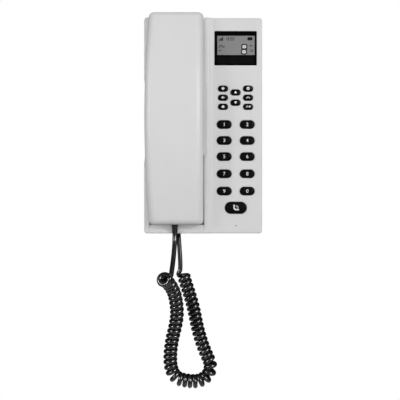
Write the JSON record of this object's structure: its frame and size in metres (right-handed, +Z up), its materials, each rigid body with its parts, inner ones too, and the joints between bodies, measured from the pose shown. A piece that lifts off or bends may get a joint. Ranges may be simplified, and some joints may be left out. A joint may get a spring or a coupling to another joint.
{
  "type": "wall telephone",
  "caption": "Slimline wall phone: light grey case with a display and black keys, an arched handset in a tray, and a black curly cord hanging below.",
  "frame": {"origin": "midway between the two wall screws, on the wall's face", "axes": "+Z up, -Y out of the wall towards the user, +X to the user's right"},
  "size_m": [0.1178, 0.062, 0.3745],
  "materials": {
    "case_plastic": "fine satin moulding",
    "handset_plastic": "fine satin moulding",
    "key_black": "satin black keys with white legends",
    "window_black": "gloss black window",
    "display_module": "display glass in a frame",
    "silicone": "silicone",
    "board": "solder mask",
    "brass_strip": "strip",
    "battery_wrap": "shrink wrap",
    "socket_metal": "plated",
    "capsule": "speaker and microphone capsules",
    "plunger_plastic": "moulded",
    "spring_steel": "drawn wire",
    "switch_black": "moulded",
    "black_rubber": "soft moulding",
    "foot_rubber": "soft moulding",
    "screw_steel": "zinc plated",
    "weight_steel": "plain",
    "bracket_steel": "zinc plated pressing",
    "cord_sheath": "smooth black sheath"
  },
  "bodies": {
    "bracket": {"wall_bracket": "bracket_steel"},
    "base": {"base_front_shell": "case_plastic", "base_rear_shell": "case_plastic", "lcd_window": "window_black", "lcd_module": "display_module", "key_mat": "silicone", "main_board": "board", "aerial_strip": "brass_strip", "battery_pack": "battery_wrap", "charging_socket": "socket_metal", "ringer_speaker": "capsule", "base_microphone": "capsule", "hook_spring": "spring_steel", "hook_switch": "switch_black", "cord_gland": "black_rubber", "case_screws": "screw_steel", "rubber_feet": "foot_rubber", "cord_handset_lead": "cord_sheath", "cord_coil": "cord_sheath", "cord_base_lead": "cord_sheath"},
    "handset": {"handset_front_shell": "handset_plastic", "handset_rear_shell": "handset_plastic", "earpiece_capsule": "capsule", "handset_microphone": "capsule", "handset_weight": "weight_steel", "handset_screws": "screw_steel", "handset_strain_relief": "black_rubber"},
    "hook": {"hook_plunger": "plunger_plastic"},
    "cover": {"battery_cover": "case_plastic"},
    "key_select_body": {"key_select": "key_black"},
    "key_ring_body": {"key_ring": "key_black"},
    "key_up_body": {"key_up": "key_black"},
    "key_back_body": {"key_back": "key_black"},
    "key_redial_body": {"key_redial": "key_black"},
    "key_down_body": {"key_down": "key_black"},
    "key_bell_body": {"key_bell": "key_black"},
    "key_mute_body": {"key_mute": "key_black"},
    "key_1_body": {"key_1": "key_black"},
    "key_2_body": {"key_2": "key_black"},
    "key_3_body": {"key_3": "key_black"},
    "key_4_body": {"key_4": "key_black"},
    "key_5_body": {"key_5": "key_black"},
    "key_6_body": {"key_6": "key_black"},
    "key_7_body": {"key_7": "key_black"},
    "key_8_body": {"key_8": "key_black"},
    "key_9_body": {"key_9": "key_black"},
    "key_0_body": {"key_0": "key_black"},
    "key_call_body": {"key_call": "key_black"}
  },
  "joints": [
    {"name": "lift_off_bracket", "type": "slide", "parent": "bracket", "child": "base", "axis": [0, 0, 1], "range_m": [0, 0.008]},
    {"name": "handset_lift", "type": "slide", "parent": "base", "child": "handset", "axis": [0, -1, 0], "range_m": [0, 0.06]},
    {"name": "hook_travel", "type": "slide", "parent": "base", "child": "hook", "axis": [0, -1, 0], "range_m": [0, 0.0035]},
    {"name": "battery_cover_slide", "type": "slide", "parent": "base", "child": "cover", "axis": [0, 0, -1], "range_m": [0, 0.03]},
    {"name": "key_select_press", "type": "slide", "parent": "base", "child": "key_select_body", "axis": [0, 1, 0], "range_m": [0, 0.001], "stiffness_N_per_m": 900},
    {"name": "key_ring_press", "type": "slide", "parent": "base", "child": "key_ring_body", "axis": [0, 1, 0], "range_m": [0, 0.001], "stiffness_N_per_m": 900},
    {"name": "key_up_press", "type": "slide", "parent": "base", "child": "key_up_body", "axis": [0, 1, 0], "range_m": [0, 0.001], "stiffness_N_per_m": 900},
    {"name": "key_back_press", "type": "slide", "parent": "base", "child": "key_back_body", "axis": [0, 1, 0], "range_m": [0, 0.001], "stiffness_N_per_m": 900},
    {"name": "key_redial_press", "type": "slide", "parent": "base", "child": "key_redial_body", "axis": [0, 1, 0], "range_m": [0, 0.001], "stiffness_N_per_m": 900},
    {"name": "key_down_press", "type": "slide", "parent": "base", "child": "key_down_body", "axis": [0, 1, 0], "range_m": [0, 0.001], "stiffness_N_per_m": 900},
    {"name": "key_bell_press", "type": "slide", "parent": "base", "child": "key_bell_body", "axis": [0, 1, 0], "range_m": [0, 0.001], "stiffness_N_per_m": 900},
    {"name": "key_mute_press", "type": "slide", "parent": "base", "child": "key_mute_body", "axis": [0, 1, 0], "range_m": [0, 0.001], "stiffness_N_per_m": 900},
    {"name": "key_1_press", "type": "slide", "parent": "base", "child": "key_1_body", "axis": [0, 1, 0], "range_m": [0, 0.001], "stiffness_N_per_m": 900},
    {"name": "key_2_press", "type": "slide", "parent": "base", "child": "key_2_body", "axis": [0, 1, 0], "range_m": [0, 0.001], "stiffness_N_per_m": 900},
    {"name": "key_3_press", "type": "slide", "parent": "base", "child": "key_3_body", "axis": [0, 1, 0], "range_m": [0, 0.001], "stiffness_N_per_m": 900},
    {"name": "key_4_press", "type": "slide", "parent": "base", "child": "key_4_body", "axis": [0, 1, 0], "range_m": [0, 0.001], "stiffness_N_per_m": 900},
    {"name": "key_5_press", "type": "slide", "parent": "base", "child": "key_5_body", "axis": [0, 1, 0], "range_m": [0, 0.001], "stiffness_N_per_m": 900},
    {"name": "key_6_press", "type": "slide", "parent": "base", "child": "key_6_body", "axis": [0, 1, 0], "range_m": [0, 0.001], "stiffness_N_per_m": 900},
    {"name": "key_7_press", "type": "slide", "parent": "base", "child": "key_7_body", "axis": [0, 1, 0], "range_m": [0, 0.001], "stiffness_N_per_m": 900},
    {"name": "key_8_press", "type": "slide", "parent": "base", "child": "key_8_body", "axis": [0, 1, 0], "range_m": [0, 0.001], "stiffness_N_per_m": 900},
    {"name": "key_9_press", "type": "slide", "parent": "base", "child": "key_9_body", "axis": [0, 1, 0], "range_m": [0, 0.001], "stiffness_N_per_m": 900},
    {"name": "key_0_press", "type": "slide", "parent": "base", "child": "key_0_body", "axis": [0, 1, 0], "range_m": [0, 0.001], "stiffness_N_per_m": 900},
    {"name": "key_call_press", "type": "slide", "parent": "base", "child": "key_call_body", "axis": [0, 1, 0], "range_m": [0, 0.001], "stiffness_N_per_m": 1200}
  ],
  "couplings": [
    {"joint": "hook_travel", "follows": "handset_lift", "ratio": 0.05833}
  ]
}
